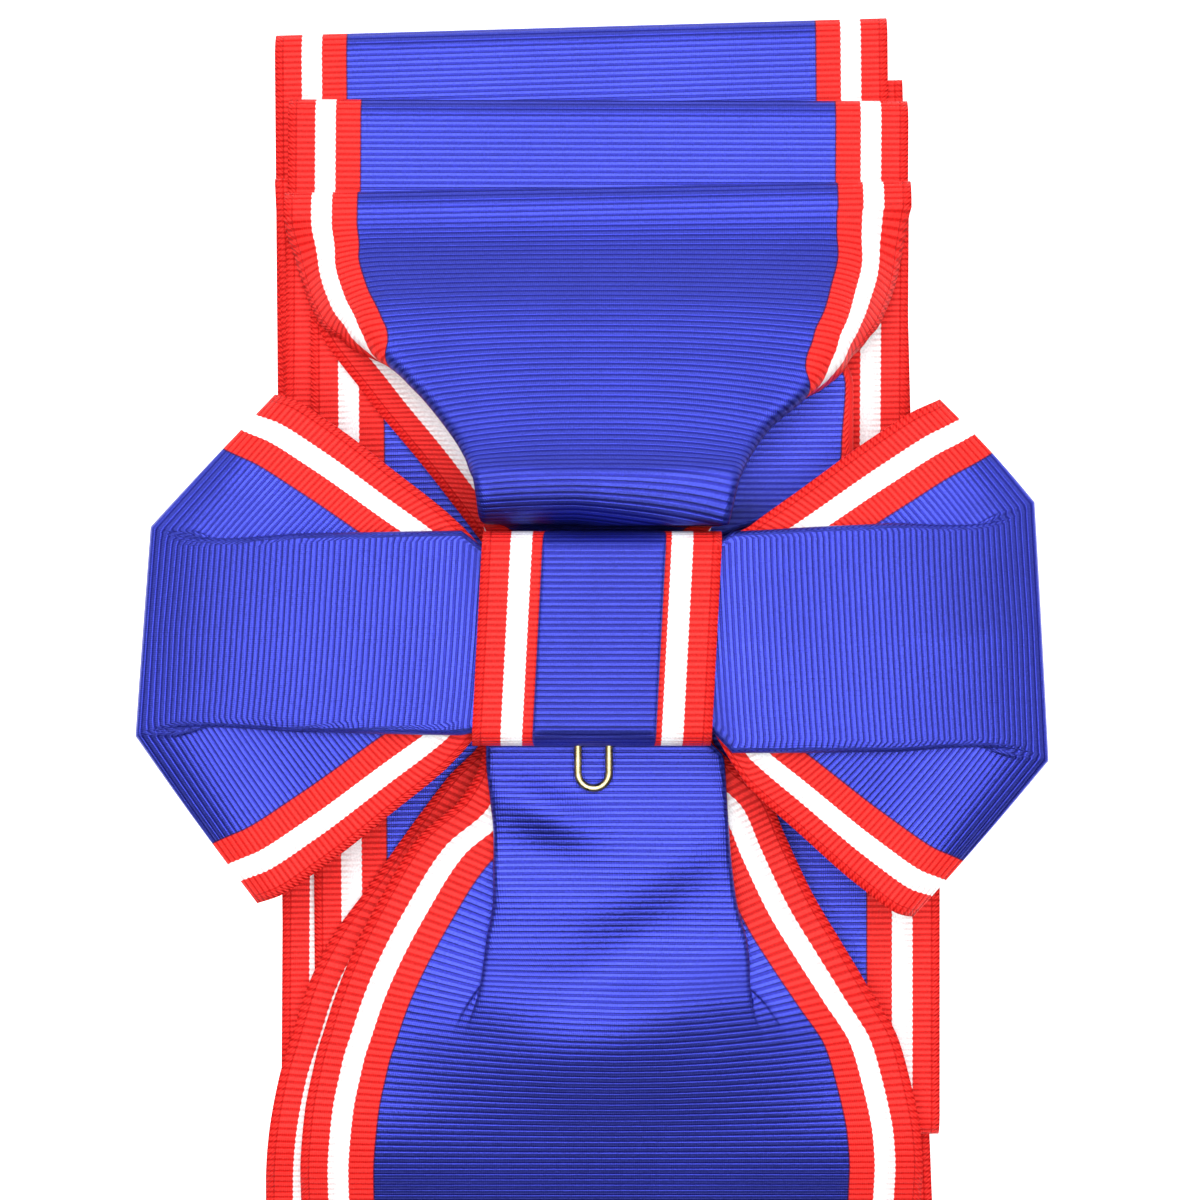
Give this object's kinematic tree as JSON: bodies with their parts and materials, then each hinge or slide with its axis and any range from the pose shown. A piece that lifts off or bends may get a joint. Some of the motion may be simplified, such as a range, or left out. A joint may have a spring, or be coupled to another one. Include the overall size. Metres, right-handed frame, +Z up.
{
  "type": "sash of an order, folded, with its bow",
  "caption": "Folded dress sash of blue ribbed riband with red, white and red edges, with a box-pleated bow, tails and a small brass ring.",
  "frame": {"origin": "middle of the underside of the folded packet, on the surface that it lies on", "axes": "+Z up from the surface, +Y along the lays towards the packet's upper fold, +X to the right across the riband"},
  "size_m": [0.138, 0.1898, 0.0344],
  "materials": {
    "riband": "ribbed silk moire without watering, blue with red, white and red edges",
    "ring": "polished"
  },
  "bodies": {
    "root": {"sash_riband": "riband", "bow_band": "riband", "knot_band": "riband", "tail_front": "riband", "tail_back": "riband", "badge_ring": "ring"}
  },
  "joints": []
}
